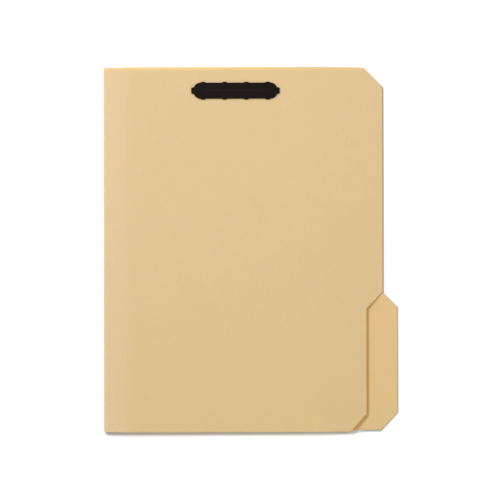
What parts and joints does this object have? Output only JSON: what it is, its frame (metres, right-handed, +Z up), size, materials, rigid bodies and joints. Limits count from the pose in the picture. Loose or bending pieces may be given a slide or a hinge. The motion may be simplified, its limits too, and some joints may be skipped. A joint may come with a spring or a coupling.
{
  "type": "fastener folder",
  "caption": "Closed letter-size manila folder with an expansion spine, a cut corner, an offset tab and prong paper fasteners under black shields",
  "frame": {"origin": "middle of the folder's footprint, on the table under the back leaf's shield", "axes": "+X from the fold towards the tab, +Y along the fold towards the fasteners, +Z up through the closed leaves"},
  "size_m": [0.241, 0.2984, 0.0085],
  "materials": {
    "manila_board": "matte",
    "black_shield": "satin",
    "tinned_steel": "satin"
  },
  "bodies": {
    "back_leaf": {"back_panel": "manila_board", "tab_reinforcement": "manila_board", "back_shield": "black_shield", "back_prong_strip": "tinned_steel", "back_compressor": "tinned_steel"},
    "spine": {"spine_fold": "manila_board"},
    "gusset": {"expansion_gusset": "manila_board"},
    "front_leaf": {"front_panel": "manila_board", "front_shield": "black_shield", "front_prong_strip": "tinned_steel", "front_compressor": "tinned_steel"},
    "back_prong_left": {"back_prong_left": "tinned_steel"},
    "back_prong_right": {"back_prong_right": "tinned_steel"},
    "back_slide_lock_left": {"back_slide_lock_left": "tinned_steel"},
    "back_slide_lock_right": {"back_slide_lock_right": "tinned_steel"},
    "front_prong_left": {"front_prong_left": "tinned_steel"},
    "front_prong_right": {"front_prong_right": "tinned_steel"},
    "front_slide_lock_left": {"front_slide_lock_left": "tinned_steel"},
    "front_slide_lock_right": {"front_slide_lock_right": "tinned_steel"}
  },
  "joints": [
    {"name": "cover_hinge", "type": "hinge", "parent": "back_leaf", "child": "spine", "pos_m": [-0.11744, 0, 0.00426], "axis": [0, -1, 0], "range_deg": [0, 180], "deforming": ["spine_fold"]},
    {"name": "expansion_fold", "type": "hinge", "parent": "spine", "child": "gusset", "pos_m": [-0.11744, 0, 0.00426], "axis": [0, 1, 0], "range_deg": [-90, 0]},
    {"name": "cover_score", "type": "hinge", "parent": "gusset", "child": "front_leaf", "pos_m": [-0.10145, 0, 0.00696], "axis": [0, 1, 0], "range_deg": [0, 90]},
    {"name": "back_prong_left_bend", "type": "hinge", "parent": "back_leaf", "child": "back_prong_left", "pos_m": [-0.04702, 0.12982, 0.00279], "axis": [0, -1, 0], "range_deg": [0, 90]},
    {"name": "back_prong_right_bend", "type": "hinge", "parent": "back_leaf", "child": "back_prong_right", "pos_m": [0.02283, 0.12982, 0.00279], "axis": [0, 1, 0], "range_deg": [0, 90]},
    {"name": "back_slide_lock_left_slide", "type": "slide", "parent": "back_leaf", "child": "back_slide_lock_left", "axis": [-1, 0, 0], "range_m": [0, 0.013]},
    {"name": "back_slide_lock_right_slide", "type": "slide", "parent": "back_leaf", "child": "back_slide_lock_right", "axis": [1, 0, 0], "range_m": [0, 0.013]},
    {"name": "front_prong_left_bend", "type": "hinge", "parent": "front_leaf", "child": "front_prong_left", "pos_m": [-0.04702, 0.12982, 0.00573], "axis": [0, 1, 0], "range_deg": [0, 90]},
    {"name": "front_prong_right_bend", "type": "hinge", "parent": "front_leaf", "child": "front_prong_right", "pos_m": [0.02283, 0.12982, 0.00573], "axis": [0, -1, 0], "range_deg": [0, 90]},
    {"name": "front_slide_lock_left_slide", "type": "slide", "parent": "front_leaf", "child": "front_slide_lock_left", "axis": [-1, 0, 0], "range_m": [0, 0.013]},
    {"name": "front_slide_lock_right_slide", "type": "slide", "parent": "front_leaf", "child": "front_slide_lock_right", "axis": [1, 0, 0], "range_m": [0, 0.013]}
  ],
  "couplings": [
    {"joint": "cover_score", "follows": "expansion_fold", "ratio": -1},
    {"joint": "back_prong_left_bend", "follows": "cover_hinge", "ratio": 0.5},
    {"joint": "back_prong_right_bend", "follows": "cover_hinge", "ratio": 0.5},
    {"joint": "front_prong_left_bend", "follows": "cover_hinge", "ratio": 0.5},
    {"joint": "front_prong_right_bend", "follows": "cover_hinge", "ratio": 0.5}
  ]
}
